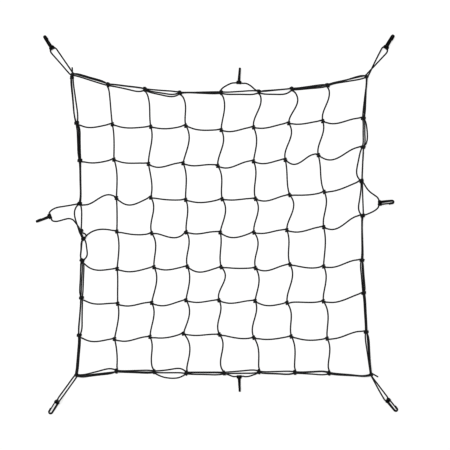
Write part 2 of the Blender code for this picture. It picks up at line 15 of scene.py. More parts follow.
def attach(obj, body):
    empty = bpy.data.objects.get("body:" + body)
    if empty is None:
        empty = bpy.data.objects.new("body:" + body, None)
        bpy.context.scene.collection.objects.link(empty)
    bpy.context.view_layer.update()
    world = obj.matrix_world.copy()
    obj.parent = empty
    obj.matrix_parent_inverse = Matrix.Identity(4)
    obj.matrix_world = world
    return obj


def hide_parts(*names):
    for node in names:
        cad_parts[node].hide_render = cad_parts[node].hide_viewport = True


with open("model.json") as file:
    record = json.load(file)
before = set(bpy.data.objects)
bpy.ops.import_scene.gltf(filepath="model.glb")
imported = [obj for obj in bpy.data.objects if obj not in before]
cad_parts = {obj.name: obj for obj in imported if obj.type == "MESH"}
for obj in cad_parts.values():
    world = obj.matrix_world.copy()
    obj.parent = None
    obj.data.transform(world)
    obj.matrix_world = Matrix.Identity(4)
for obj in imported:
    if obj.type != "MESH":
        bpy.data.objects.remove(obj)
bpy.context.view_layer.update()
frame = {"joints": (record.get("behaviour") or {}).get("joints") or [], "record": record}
MM = 0.001

# --- Camera ------------------------------------------------------------------------------------
# A long lens looks straight down on the middle of the net, with the net's back edge at the top of
# the picture.

CAMERA_HEIGHT = 4.0
FIELD_WIDTH = 1.395
CAMERA_PLACE = (0.0251, -0.002)
camera_data = bpy.data.cameras.new("camera")
camera_data.sensor_width = 36.0
camera_data.lens = camera_data.sensor_width * CAMERA_HEIGHT / FIELD_WIDTH
camera_data.clip_end = 20.0
camera = bpy.data.objects.new("camera", camera_data)
camera.location = (*CAMERA_PLACE, CAMERA_HEIGHT)
bpy.context.scene.collection.objects.link(camera)
bpy.context.scene.camera = camera

# --- Where the hooks are -----------------------------------------------------------------------
# Each snap hook is a moulding with its own frame: X from its cord eye to its tip, Z from its spine
# to its gate, Y along the eye's bore. The hinge of its gate and the seat in its tip fix it here.

HOOK_NAMES = (
    "back_left", "back_right", "front_left", "front_right", "back", "front", "left", "right",
)
GATE_PIVOT = (3.6 * MM, 4.7 * MM)  # X and Z
EYE_Z = -1.9 * MM


def hook_frame(name):
    """The hook's own frame as a matrix, from the joint and the mount that belong to it."""
    mounts = frame["record"]["mounts"]
    hinge = next(joint for joint in frame["joints"] if joint["name"] == f"gate_{name}_hinge")
    seat = next(mount for mount in mounts if mount["name"] == f"hook_seat_{name}")
    along = -Vector(seat["axis"]).normalized()
    bore = Vector(hinge["axis"]).normalized()
    turn = Matrix((along, bore, along.cross(bore))).transposed()
    origin = Vector(hinge["pos_m"]) - turn @ Vector((GATE_PIVOT[0], 0, GATE_PIVOT[1]))
    return Matrix.Translation(origin) @ turn.to_4x4()


hook_frames = {name: hook_frame(name) for name in HOOK_NAMES}

# --- The mesh's knots and lines ----------------------------------------------------------------
# The net is knotted by hand from one round elastic cord, so no cell is quite square: each knot has
# strayed from the even grid, and each slack length of cord bows between its knots.

CORD_RADIUS = 2.0 * MM
CELLS = 8
CELL_X = 110 * MM
CELL_Y = 109 * MM
MIDDLE_KNOT = (12 * MM, -20 * MM)

# Millimetres from the even grid: a row for each row of knots, back to front, and a number for
# each column, left to right.
STRAY_X = (
    (-19, -19, -15, -17, 1, 8, 0, 0, 11),
    (-6, -6, 3, 1, 1, -9, -10, -15, 1),
    (4, -1, -4, -7, -10, -9, -21, -29, 0),
    (3, 7, 3, 1, 4, -3, -7, -10, -5),
    (15, 8, 6, 3, -2, -8, -16, -12, -1),
    (11, 9, 13, 6, 1, -3, -6, -12, -3),
    (9, 11, 6, 2, -6, -4, -15, -13, 2),
    (2, 1, 1, -6, -4, -8, -2, -1, 10),
    (-7, 7, 14, 3, 10, 8, 9, 5, 25),
)
STRAY_Y = (
    (48, 16, 2, -9, -8, -6, 3, 14, 42),
    (7, 4, -4, 0, -14, -6, 7, 14, 21),
    (0, 4, -10, -8, -16, -2, 4, 18, 41),
    (-25, -7, -5, -12, -10, -9, 2, 12, 46),
    (-25, -2, -7, -2, -4, -4, 3, 13, 47),
    (18, -8, -2, 0, -3, -5, 5, 0, 18),
    (11, -7, -4, 4, 4, 2, -5, 1, 26),
    (4, -7, -1, 10, 6, -3, 1, -6, 14),
    (-11, 2, 0, -4, -4, 0, -2, -4, -9),
)

# Bows in millimetres, a third and two thirds of the way along each cell. Uprights run back to
# front and bow to +X; cross cords run left to right and bow to -Y.
UPRIGHT_BOWS = (
    ((1, 0), (3, 2), (6, 4), (1, 1), (6, 4), (1, 0), (6, 4), (4, 4)),
    ((7, 3), (6, 2), (4, 6), (8, 0), (10, 5), (11, 7), (9, 4), (2, -5)),
    ((11, 5), (14, 9), (7, 4), (6, 2), (8, 1), (9, 6), (14, 10), (17, 10)),
    ((11, 6), (11, 4), (8, 3), (13, 8), (2, -2), (15, 3), (5, -4), (6, -6)),
    ((11, 2), (10, 7), (6, 0), (11, 4), (12, 3), (12, 8), (5, -4), (9, 5)),
    ((22, 10), (12, 2), (1, -2), (16, 7), (4, -1), (11, 3), (9, 3), (8, 4)),
    ((10, 1), (7, 0), (1, -3), (8, 2), (6, 4), (9, 4), (11, 6), (7, 1)),
)
CROSS_BOWS = (
    ((13, 8), (9, 6), (8, 7), (9, 6), (8, 3), (7, 3), (6, 3), (11, 2)),
    ((9, 7), (7, 3), (12, 4), (6, 0), (11, 2), (10, 5), (20, 4), (23, 6)),
    ((3, -13), (23, 15), (4, 4), (10, 8), (4, 1), (11, 4), (4, 5), (7, 4)),
    ((-17.5, -14.5), (6, 7), (9, 18), (7, 1), (17, 12), (6, 1), (10, 4), (17, 2)),
    ((20, 13), (12, 8), (11, 7), (18, 11), (3, 3), (13, 5), (6, 8), (8, -1)),
    ((13, 7), (9, 3), (13, 7), (8, 4), (10, 4), (13, 9), (0, 3), (12, 6)),
    ((16, 10), (10, 3), (8, 7), (6, 2), (5, 7), (8, 6), (9, 8), (4, -4)),
)


def knot(row, column):
    """The middle of a knot, on the floor."""
    x = MIDDLE_KNOT[0] + (column - CELLS / 2) * CELL_X + STRAY_X[row][column] * MM
    y = MIDDLE_KNOT[1] + (CELLS / 2 - row) * CELL_Y + STRAY_Y[row][column] * MM
    return np.array((x, y))


def unit(vector):
    return vector / np.linalg.norm(vector)


def right_of(vector):
    return np.array((vector[1], -vector[0]))


POINTS_A_CELL = 36
MOST_KINK = 6  # bows above this many millimetres kink a cord no further
LINE_EASING = 4


def bowed_line(knots, bows, side, end_offset=0.0, crest=0.0):
    """A cord's line on the floor through its knots, as an array of points. side is 1 where bows
    are to the right of the way that it runs; end_offset is its place in a bundle, in millimetres.
    A crest above 0 holds small bows closer to each knot, where a tight knot kinks the cord."""
    normals = [right_of(unit(end - start)) * side for start, end in zip(knots, knots[1:])]
    at_knots = [normals[0]] + [unit(a + b) for a, b in zip(normals, normals[1:])] + [normals[-1]]
    share = (np.arange(POINTS_A_CELL) / POINTS_A_CELL)[:, None]
    rest = 1 - share
    stretches = []
    for cell, bow in enumerate(bows):
        first, second = (value - end_offset for value in bow)
        curve = 3 * rest**2 * share * (3 * first - 1.5 * second)
        curve = curve + 3 * rest * share**2 * (3 * second - 1.5 * first)
        here = first + (second - first) * np.clip(3 * share - 1, 0, 1)
        small_bow = np.clip(here, -MOST_KINK, MOST_KINK)
        curve = curve + crest * small_bow * share * rest * (3 * share - 1) * (3 * share - 2)
        normal = at_knots[cell] * rest + at_knots[cell + 1] * share
        normal = normal / np.linalg.norm(normal, axis=1)[:, None]
        straight = knots[cell] * rest + knots[cell + 1] * share
        stretches.append(straight + normal * (curve + end_offset) * MM)
    stretches.append([knots[-1] + at_knots[-1] * end_offset * MM])
    return np.concatenate(stretches)


def eased(line, times):
    """The line with its corners rounded, and its ends where they were."""
    line = line.copy()
    for _ in range(times):
        line[1:-1] = line[:-2] * 0.25 + line[1:-1] * 0.5 + line[2:] * 0.25
    return line


# --- Making cord -------------------------------------------------------------------------------
# Every cord here is a 4 mm elastic shock cord: a bundle of rubber threads in a braided sheath. Its
# skin is a tube with a map that runs round and along it, so that the braid follows every turn.

CORD_SIDES = 12
CAP_RINGS = ((0.0, 0.55), (0.35, 0.85))  # how far in from a cut end, and how wide, in radii
ASLANT = (0.3, 0.2, 1.0)  # a direction in which no cord starts
ALMOST = 1e-9


def with_heights(line, heights):
    return np.column_stack((line, heights))


def thinned(points, spacing):
    """The same route with its points about spacing apart."""
    along = np.concatenate(([0], np.cumsum(np.linalg.norm(np.diff(points, axis=0), axis=1))))
    count = max(2, round(along[-1] / spacing) + 1)
    places = np.linspace(0, along[-1], count)
    return np.column_stack([np.interp(places, along, points[:, axis]) for axis in range(3)])


def tube_rings(points):
    """Rings of points round a line, with the distance along it of each, and ends rounded off."""
    directions = np.gradient(points, axis=0)
    directions /= np.linalg.norm(directions, axis=1)[:, None]
    steps = np.linalg.norm(np.diff(points, axis=0), axis=1)
    along = np.concatenate(([0], np.cumsum(steps)))
    angles = np.arange(CORD_SIDES) * 2 * math.pi / CORD_SIDES
    across = unit(np.cross(directions[0], ASLANT))
    rings = []
    for point, direction, distance in zip(points, directions, along):
        across = unit(across - direction * (across @ direction))
        up = np.cross(direction, across)
        width = CORD_RADIUS
        for inset, share in CAP_RINGS:
            if min(distance, along[-1] - distance) <= inset * CORD_RADIUS + ALMOST:
                width = CORD_RADIUS * share
                break
        circle = np.cos(angles)[:, None] * across + np.sin(angles)[:, None] * up
        rings.append(point + circle * width)
    return rings, along


def tube(name, lines):
    """Round cord along each line of points, as one mesh with the map "braid": U is turns round the
    cord, and V is the way along it in circumferences."""
    vertices, faces, uvs = [], [], []
    inset = CORD_RADIUS * CAP_RINGS[-1][0]
    scale = 1 / (2 * math.pi * CORD_RADIUS)
    for points in lines:
        start, end = points[0], points[-1]
        near_start = start + unit(points[1] - start) * inset
        near_end = end - unit(end - points[-2]) * inset
        rings, along = tube_rings(np.vstack((start, near_start, points[1:-1], near_end, end)))
        base = len(vertices)
        for ring in rings:
            vertices.extend(ring)
        for row in range(len(rings) - 1):
            low, high = along[row] * scale, along[row + 1] * scale
            for step in range(CORD_SIDES):
                beside = (step + 1) % CORD_SIDES
                a, b = base + row * CORD_SIDES + step, base + row * CORD_SIDES + beside
                faces.append((a, b, b + CORD_SIDES, a + CORD_SIDES))
                left, right = step / CORD_SIDES, (step + 1) / CORD_SIDES
                uvs += [(left, low), (right, low), (right, high), (left, high)]
        for row, order in ((0, -1), (len(rings) - 1, 1)):
            cap = [base + row * CORD_SIDES + step for step in range(CORD_SIDES)][::order]
            faces.append(tuple(cap))
            uvs += [(0.5, along[row] * scale)] * CORD_SIDES
    mesh = bpy.data.meshes.new(name)
    mesh.from_pydata([tuple(vertex) for vertex in vertices], [], faces)
    braid = mesh.uv_layers.new(name="braid")
    braid.data.foreach_set("uv", np.array(uvs, np.float32).ravel())
    mesh.shade_smooth()
    piece = bpy.data.objects.new(name, mesh)
    bpy.context.scene.collection.objects.link(piece)
    return piece


# --- The braid ---------------------------------------------------------------------------------
# The sheath is braided from black synthetic yarn, eight carriers each way round, each passing over
# and under the others. The yarn is matt. Its colour has a painted highlight on the crown of each
# stitch and painted shade in the creases between stitches.


class Signal:
    """A value that varies over a surface. Arithmetic on it adds Math nodes to the material."""

    def __init__(self, finish, socket):
        self.finish = finish
        self.socket = socket

    def math(self, operation, *others):
        return self.finish.node("ShaderNodeMath", {"operation": operation}, (self, *others))

    def __add__(self, other):
        return self.math("ADD", other)

    def __mul__(self, other):
        return self.math("MULTIPLY", other)

    def __sub__(self, other):
        return self.math("SUBTRACT", other)

    def __rsub__(self, other):
        return self * -1.0 + other


class Finish:
    """A material being made, with its nodes."""

    def __init__(self, name):
        self.material = bpy.data.materials.new(name)
        self.material.use_nodes = True
        self.tree = self.material.node_tree
        self.shader = self.tree.nodes["Principled BSDF"]

    def node(self, kind, settings=None, inputs=(), output=0):
        """Adds a node: its settings first, then its inputs, by place or by name."""
        made = self.tree.nodes.new(kind)
        for name, value in (settings or {}).items():
            setattr(made, name, value)
        if not isinstance(inputs, dict):
            inputs = dict(enumerate(inputs))
        for place, value in inputs.items():
            self.feed(made.inputs[place], value)
        return Signal(self, made.outputs[output])

    def feed(self, socket, value):
        if isinstance(value, Signal):
            self.tree.links.new(value.socket, socket)
        else:
            socket.default_value = value

    def surface(self, **inputs):
        """Feeds the shader, with spaces for underscores in the names of its sockets."""
        for name, value in inputs.items():
            self.feed(self.shader.inputs[name.replace("_", " ")], value)

    def mix(self, share, first, second):
        """A colour between two colours."""
        settings = {"data_type": "RGBA"}
        return self.node("ShaderNodeMix", settings, {0: share, 6: first, 7: second}, output=2)

    def noise(self, scale, detail):
        """Cloudy noise from 0 to 1 in the object's own space."""
        place = self.node("ShaderNodeTexCoord", output=3)
        return self.node("ShaderNodeTexNoise", None, {0: place, 2: scale, 3: detail})

    def bump(self, strength, depth, height):
        """The normal of a surface with this relief."""
        inputs = {"Strength": strength, "Distance": depth, "Height": height}
        return self.node("ShaderNodeBump", None, inputs)


CARRIERS = 8
STITCH_ROUNDING = 0.45  # how much a stitch sinks towards its two ends
# The colour on the crown of a stitch is the black yarn with a painted highlight; the colour in the
# creases is painted shade.
CROWN_PAINTED_HIGHLIGHT = (0.115, 0.117, 0.12, 1)
CREASE_PAINTED_SHADE = (0.009, 0.009, 0.01, 1)
FLUFF = (0.15, 0.152, 0.156, 1)
YARN_NOISE = (900.0, 2.0)  # the scale and the detail of noise
WEAR_NOISE = (22.0, 3.0)
FLUFF_GAIN = 1.6  # the yarn is fluffy where noise times the gain is above the cut
FLUFF_CUT = 0.65
YARN_RELIEF = 0.25
STITCH_BUMP = (0.7, 0.3 * MM)  # strength and depth
YARN_ROUGHNESS = 0.9
CROWN_SHINE = 0.25  # how much less rough the crown of a stitch is


def braided_cord():
    finish = Finish("braided_black_cord")
    place = finish.node("ShaderNodeUVMap", {"uv_map": "braid"})
    split = finish.node("ShaderNodeSeparateXYZ", None, (place,))
    around = Signal(finish, split.socket.node.outputs[0])
    along = Signal(finish, split.socket.node.outputs[1])
    leaning = around * CARRIERS + along * CARRIERS
    falling = around * CARRIERS - along * CARRIERS
    crossing = leaning.math("FLOOR") + falling.math("FLOOR")
    on_top = (crossing * 0.5).math("FRACT") * 2.0
    crown_a = (leaning.math("FRACT") * math.pi).math("SINE")
    crown_b = (falling.math("FRACT") * math.pi).math("SINE")
    over = crown_a * (crown_b * STITCH_ROUNDING + (1 - STITCH_ROUNDING))
    under = crown_b * (crown_a * STITCH_ROUNDING + (1 - STITCH_ROUNDING))
    stitch = on_top * over + (1.0 - on_top) * under
    yarn = finish.noise(*YARN_NOISE)
    wear = finish.noise(*WEAR_NOISE)
    # Painted highlight towards each stitch's crown, painted shade in the creases between stitches.
    colour = finish.mix(stitch, CREASE_PAINTED_SHADE, CROWN_PAINTED_HIGHLIGHT)
    fluff = (wear * FLUFF_GAIN - FLUFF_CUT).math("MAXIMUM", 0.0) * yarn
    colour = finish.mix(fluff, colour, FLUFF)
    relief = finish.bump(*STITCH_BUMP, stitch + yarn * YARN_RELIEF)
    roughness = YARN_ROUGHNESS - stitch * CROWN_SHINE
    finish.surface(Base_Color=colour, Roughness=roughness, Normal=relief)
    finish.surface(Sheen_Weight=0.05, Sheen_Roughness=0.45, Specular_IOR_Level=0.3)
    return finish.material


cord_material = braided_cord()


def net_cord(name, node, lines):
    """A piece of the net: cord along these lines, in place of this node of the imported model."""
    piece = tube(name, lines)
    piece.data.materials.append(cord_material)
    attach(piece, "net")
    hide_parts(node)
    return piece


# --- Laying cord on the floor ------------------------------------------------------------------
# The net is slack and limp, so each cord lies on the floor, and on the cords that were there
# before it. It goes over them in low humps.

laid_points = []
HUMP_REACH = 9 * MM
EDGE_HUMP_REACH = 6 * MM
LOOP_HUMP_REACH = 4 * MM
SQUEEZE = 0.25 * MM  # how far two cords press into each other
NEARBY = 10 * MM


def smeared(values, spacing, reach):
    """The highest value near each place, in a smooth rise and fall."""
    count = max(1, round(reach / spacing))
    padded = np.pad(values, 2 * count, mode="edge")
    span = len(values) + 2 * count
    highest = np.max([padded[i : i + span] for i in range(2 * count + 1)], axis=0)
    weights = np.hanning(2 * count + 3)[1:-1]
    return np.convolve(highest, weights / weights.sum(), mode="valid")


def lay(line, lift=None, reach=HUMP_REACH, beneath=None):
    """Heights for a cord on the floor, at least as high as lift and over the cords beneath it,
    which are all that are laid already unless given. Returns its points, and adds them to those."""
    heights = np.full(len(line), CORD_RADIUS)
    apart_least = 2 * CORD_RADIUS - SQUEEZE
    low, high = line.min(0) - NEARBY, line.max(0) + NEARBY
    for others in laid_points if beneath is None else beneath:
        flat = others[:, :2]
        near = others[(flat > low).all(1) & (flat < high).all(1)]
        if not len(near):
            continue
        apart = ((line[:, None] - near[None, :, :2]) ** 2).sum(2)
        over = near[None, :, 2] + np.sqrt(np.maximum(apart_least**2 - apart, 0))
        over = np.where(apart < apart_least**2, over, 0)
        heights = np.maximum(heights, over.max(1))
    spacing = np.linalg.norm(np.diff(line, axis=0), axis=1).mean()
    heights = smeared(heights, spacing, reach)
    if lift is not None:
        heights = np.maximum(heights, lift)
    points = with_heights(line, heights)
    laid_points.append(points)
    return points


# --- The edges ---------------------------------------------------------------------------------
# Three cords run side by side along every edge: the mesh's own selvedge, a border cord outside it,
# and a hook cord on top in the groove between them. The edge knots hold them together.

# Bows in millimetres, cell by cell, left to right or back to front, with inward positive. The hook
# cord has left the edge as a loop where there is None.
EDGE_BOWS = {
    "back": {
        "selvedge": (
            (1, 2), (4, 8), (10, 14), (-0.3, 2.2),
            (6, 7), (10, 13.5), (3.7, 4.1), (-0.1, 2.8),
        ),
        "border": (
            (-4, -4), (-4, -4), (5, 7), (-1.1, -2.3),
            (-2, -4), (-1, -1.5), (-2.3, -3.9), (-4.1, -4),
        ),
        "hook": (
            (-6.8, -7), (-3, -3), (-2, -3), (-0.7, -0.3),
            None, (-2, -1.5), (0.7, 0.1), (-2.1, -5),
        ),
    },
    "front": {
        "selvedge": (
            (1, 7.5), (1, 3), (5.5, 12), (2, 2),
            (3, 5), (0, 2), (1.5, 4), (-2.3, -4.8),
        ),
        "border": (
            (-3.3, -3), (-4, -5), (-2.5, -1), (-5, -6),
            (-3, -4), (-6, -7), (-4.2, -6), (-5.3, -5.9),
        ),
        "hook": (
            (-7.5, -7), (-2, -2), (-17, -18), (1, 1),
            None, (-5, -6), (0.5, 3.5), (-3.8, -5.4),
        ),
    },
    "left": {
        "selvedge": (
            (1, 4), (6.6, 3.6), (2, 3.1), (2, -3),
            (10, 14), (5, 4), (4, 6), (4, 3.6),
        ),
        "border": (
            (-5.6, -6), (2.6, -0.2), (0.7, 2.1), (-20, -13.5),
            (-5, -6), (0, -1.4), (-2, -3), (-1, -1.4),
        ),
        "hook": (
            (-6.6, -6), (-1.4, -3.2), (1.4, 2.6), None,
            (-6, -6), (-5, -6), (-2, -3), (1, 0.6),
        ),
    },
    "right": {
        "selvedge": (
            (-1.1, 0.9), (-0.6, -1), (10.5, 15.5), (3, 10),
            (1.2, 0.1), (4.5, 3), (0, 0.3), (4, 2.4),
        ),
        "border": (
            (-1.9, -4.1), (-5.6, -6.5), (-2, -2), (-3, -3),
            (0.6, -1.9), (-0.5, -1), (-4.5, -3.9), (-1.5, 0.3),
        ),
        "hook": (
            (-1.5, -2.1), (-12, -14), (-2, -2), None,
            (0.9, -0.9), (-3.5, -4.8), (-2.5, -1.8), (-5, -1.6),
        ),
    },
}
AT_KNOT = {"selvedge": 2.1, "border": -2.1, "hook": 0.0}
EDGE_CREST = 3.0
EDGE_EASING = 3
INWARD = {"back": 1, "front": -1, "left": -1, "right": 1}
LOOP_CELL = {"back": 4, "front": 4, "left": 3, "right": 3}

KNOT_RISE = 3.85 * MM  # a knot's turns pass under the cords that it holds, and lift them
RISE_REACH = 24 * MM
TUBE_SPACING = 3.0 * MM
SPARE_TIE = (-420.5, -21)  # a second knot on the left edge, in millimetres


def side_knots(side):
    if side in ("back", "front"):
        row = 0 if side == "back" else CELLS
        return [knot(row, column) for column in range(CELLS + 1)]
    column = 0 if side == "left" else CELLS
    return [knot(row, column) for row in range(CELLS + 1)]


def fading(distance, reach):
    """1 at no distance, falling smoothly to 0 at reach."""
    return 0.5 + 0.5 * np.cos(math.pi * np.clip(distance / reach, 0, 1))


def lifted_at(line, knots):
    """The least heights of a line that goes through these knots."""
    apart = np.min([np.linalg.norm(line - place, axis=1) for place in knots], axis=0)
    return CORD_RADIUS + KNOT_RISE * fading(apart, RISE_REACH)


edge_lines = {}
for layer in ("selvedge", "border"):
    for side, tables in EDGE_BOWS.items():
        knots = side_knots(side)
        ties = [*knots, np.array(SPARE_TIE) * MM] if side == "left" else knots
        line = bowed_line(knots, tables[layer], INWARD[side], AT_KNOT[layer], EDGE_CREST)
        line = eased(line, EDGE_EASING)
        edge_lines[layer, side] = line
        route = thinned(lay(line, lifted_at(line, ties)), TUBE_SPACING)
        net_cord(f"{layer}_cord_{side}", f"{layer}_{side}", [route])

# --- The mesh ----------------------------------------------------------------------------------
# The uprights lie under the cross cords. At each crossing the cross cord is tied round the upright
# in a clove hitch, and each mesh cord ends in two turns round all the cords of the edge.

TURNS = 2
TURN_POINTS = 18
PITCH = 3.95 * MM
HELD_RADIUS = 3.85 * MM  # from the middle of an upright to the middle of a turn round it
BUNDLE_ACROSS = 5.95 * MM  # the same round an edge, across it
BUNDLE_UP = 5.4 * MM
BUNDLE_MIDDLE = CORD_RADIUS + KNOT_RISE + 1.55 * MM  # the height of the middle of those turns
CROSSING_MIDDLE = CORD_RADIUS + KNOT_RISE
TUCK = 0.45  # the part of a turn in which a cord's end dives into the knot
TUCK_DEPTH = 0.75  # how much nearer the middle of the knot that brings it
DESCENT = 16 * MM  # how far from a knot a cord comes down to the floor
DESCENT_EASING = 2
GIVING_WAY = 2  # points at each end of a cord's free length that give way to the turns of a knot
TANGENT_REACH = 3  # how many points each way are used to tell which way a line runs
CLOVE_EXIT = 2.0 * MM  # how far along the upright a cross cord comes in and goes out
CLOVE_SPREAD = 2.9 * MM  # how much further along it the turns lie
CLOVE_RIDGE = 3.1 * MM  # how far the diagonal part of the hitch rides over the other two
RIDGE_REACH = 0.36  # how far that part goes each way, in turns


def clove_hitch(middle, heading):
    """A clove hitch round an upright: in over the top of it, round it on one side, slantwise back
    over itself, round it on the other side, and out."""
    pole = np.array((-heading[1], heading[0]))
    turn = np.arange(0, TURNS * TURN_POINTS + 1) / TURN_POINTS
    along = CLOVE_EXIT * np.cos(turn * math.pi / 2) + CLOVE_SPREAD * np.sin(turn * math.pi)
    radius = HELD_RADIUS + CLOVE_RIDGE * fading(np.abs(turn - 1), RIDGE_REACH)
    angles = turn * 2 * math.pi
    flat = middle + np.outer(np.sin(angles) * radius, heading) + np.outer(along, pole)
    return with_heights(flat, CROSSING_MIDDLE + np.cos(angles) * radius)


def hitch(middle, heading):
    """The turns of a cord that comes in over the top of an edge, heading this way, goes round it
    and ends inside the knot."""
    pole = np.array((-heading[1], heading[0]))
    angles = np.arange(0, round((TURNS + TUCK) * TURN_POINTS) + 1) * 2 * math.pi / TURN_POINTS
    past = np.clip((angles - TURNS * 2 * math.pi) / (TUCK * 2 * math.pi), 0, 1)
    shrink = 1 - TUCK_DEPTH * past
    along = (TURNS / 2 - np.minimum(angles / (2 * math.pi), TURNS)) * PITCH
    across = np.sin(angles) * BUNDLE_ACROSS * shrink
    flat = middle + np.outer(across, heading) + np.outer(along, pole)
    return with_heights(flat, BUNDLE_MIDDLE + np.cos(angles) * BUNDLE_UP * shrink)


def stretch(line, start_shift, end_shift, start_top, end_top, least):
    """The free length of a mesh cord between two hitches, with the heights where it leaves them."""
    steps = np.linalg.norm(np.diff(line, axis=0), axis=1)
    along = np.concatenate(([0], np.cumsum(steps)))
    near, far = fading(along, DESCENT), fading(along[-1] - along, DESCENT)
    line = line + np.outer(near, start_shift) + np.outer(far, end_shift)
    lift = CORD_RADIUS + (start_top - CORD_RADIUS) * near + (end_top - CORD_RADIUS) * far
    points = lay(eased(line, DESCENT_EASING), np.maximum(lift, least))
    points[0, 2], points[-1, 2] = start_top, end_top
    return points[GIVING_WAY:-GIVING_WAY]


def tangent(line, index):
    """Which way a line runs at this point of it."""
    before, after = max(index - TANGENT_REACH, 0), min(index + TANGENT_REACH, len(line) - 1)
    return unit(line[after] - line[before])


def edge_heading(side, cell, heading):
    """Straight out across an edge at one of its knots, on the side that heading points to."""
    out = right_of(tangent(edge_lines["selvedge", side], cell * POINTS_A_CELL))
    return out if out @ heading > 0 else -out


def mesh_cord(line, sides, cell, hitched):
    """A mesh cord's whole route. sides are the edges where it starts and ends, cell is its place
    along them, and hitched gives the point and heading of each crossing where it takes turns."""
    bundle_top = BUNDLE_MIDDLE + BUNDLE_UP
    turn_top = CROSSING_MIDDLE + HELD_RADIUS
    edge_shift = PITCH * TURNS / 2
    first = edge_heading(sides[0], cell, line[0] - line[TANGENT_REACH])
    last = edge_heading(sides[1], cell, line[-1] - line[-1 - TANGENT_REACH])
    stops = [(0, line[0], -first, bundle_top)]
    stops += [(index, line[index], heading, turn_top) for index, heading in hitched]
    stops.append((len(line) - 1, line[-1], last, bundle_top))
    least = lifted_at(line, line[POINTS_A_CELL:-1:POINTS_A_CELL]) if not hitched else None
    route = [hitch(line[0], first)[::-1]]
    for before, after in zip(stops, stops[1:]):
        leave = right_of(before[2]) * CLOVE_EXIT
        if before is stops[0]:
            leave = -right_of(first) * edge_shift
        arrive = -right_of(after[2]) * (edge_shift if after is stops[-1] else CLOVE_EXIT)
        piece_of_line = line[before[0] : after[0] + 1]
        floor = CORD_RADIUS if least is None else least[before[0] : after[0] + 1]
        route.append(stretch(piece_of_line, leave, arrive, before[3], after[3], floor))
        if after is not stops[-1]:
            route.append(clove_hitch(after[1], after[2]))
    route.append(hitch(line[-1], last))
    return np.concatenate(route)


ROUTE_SPACING = 2.0 * MM
POINTS_A_SPAN = 8
ROUTE_EASING = 3


def smooth_route(route):
    """A smooth curve through every point of the route, with points ROUTE_SPACING apart."""
    route = np.array(route)
    padded = np.vstack((2 * route[0] - route[1], route, 2 * route[-1] - route[-2]))
    curve = []
    for before, start, end, after in zip(padded, padded[1:], padded[2:], padded[3:]):
        share = np.linspace(0, 1, POINTS_A_SPAN + 1)[:-1, None]
        curve.append(
            0.5 * (
                2 * start
                + (end - before) * share
                + (2 * before - 5 * start + 4 * end - after) * share**2
                + (3 * start - before - 3 * end + after) * share**3
            )
        )
    curve = thinned(np.vstack((*curve, route[-1])), ROUTE_SPACING)
    curve = eased(curve, ROUTE_EASING)
    curve[:, 2] = np.maximum(curve[:, 2], CORD_RADIUS)
    return curve


# The spare end of one cross cord comes out of its knot at the left edge, turns back and is tied
# round the edge again, further back.
SPARE_ROW = 4
SPARE_WAY = ((-409.5, -42.5, 9), (-404.8, -39, 8), (-404.2, -34.5, 7.5), (-408.5, -29, 9.5))  # mm
SPARE_HEADING = unit(np.array((-0.93, -0.37)))


def spare_end(cross_route):
    turns = hitch(np.array(SPARE_TIE) * MM, SPARE_HEADING)
    way = smooth_route([*(np.array(SPARE_WAY) * MM), turns[0]])
    way = lay(way[:, :2], way[:, 2], LOOP_HUMP_REACH, [cross_route])
    return np.concatenate((way[:-1], turns))


upright_lines = []
for number in range(1, CELLS):
    knots = [knot(row, number) for row in range(CELLS + 1)]
    line = eased(bowed_line(knots, UPRIGHT_BOWS[number - 1], -1), LINE_EASING)
    upright_lines.append(line)
    route = mesh_cord(line, ("back", "front"), number, [])
    net_cord(f"upright_cord_{number}", f"mesh_upright_{number}", [route])

for number in range(1, CELLS):
    knots = [knot(number, column) for column in range(CELLS + 1)]
    line = eased(bowed_line(knots, CROSS_BOWS[number - 1], 1), LINE_EASING)
    crossings = []
    for column, upright in enumerate(upright_lines, 1):
        downward = tangent(upright, number * POINTS_A_CELL)
        crossings.append((column * POINTS_A_CELL, -right_of(downward)))
    paths = [mesh_cord(line, ("left", "right"), number, crossings)]
    if number == SPARE_ROW:
        paths.append(spare_end(paths[0]))
    net_cord(f"cross_cord_{number}", f"mesh_cross_{number}", paths)

# --- The hook cord along the edges -------------------------------------------------------------
# One long cord lies on top of each edge from corner to corner, except where it leaves the edge as
# the loop of a side hook.

under_hook_cord = list(laid_points)
for side, tables in EDGE_BOWS.items():
    knots = side_knots(side)
    gap = LOOP_CELL[side]
    for half, first, last in (("a", 0, gap), ("b", gap + 1, CELLS)):
        held = knots[first : last + 1]
        bows = tables["hook"][first:last]
        line = bowed_line(held, bows, INWARD[side], AT_KNOT["hook"], EDGE_CREST)
        line = eased(line, EDGE_EASING)
        route = thinned(lay(line, lifted_at(line, held), EDGE_HUMP_REACH), TUBE_SPACING)
        net_cord(f"edge_hook_cord_{side}_{half}", f"hook_cord_{side}_{half}", [route])

# --- The corner knots --------------------------------------------------------------------------
# All the cords of two edges meet in a tight overhand knot at each corner. The cord's two loose ends
# stick out of two of the knots, cut and sealed with heat.

CORNER_KNOTS = {
    "back_left": (0, 0),
    "back_right": (0, CELLS),
    "front_left": (CELLS, 0),
    "front_right": (CELLS, CELLS),
}
# Where each tail starts from the middle of its knot, its heading in degrees, and its length, with
# lengths in millimetres.
TAILS = {"back_left": ((0, 0), 94, 23), "front_right": ((3, 3.5), -30, 23)}
FIST_SCALE = 1.72 * MM
FIST_RISE = 2.35 * MM
FIST_MIDDLE = 4.7 * MM
FIST_POINTS = 96
FIST_TURN = {"back_left": 20, "back_right": 75, "front_left": 140, "front_right": 50}
SECOND_FIST = {"back_left": (-2.5, -9.5)}  # where a knot is tied twice, the second from the first
SECOND_TURN = 60
TAIL_POINTS = 14
TAIL_LEVEL = 5  # how far a tail stays level, and how much of its end is on the floor
TAIL_FLAT = 3


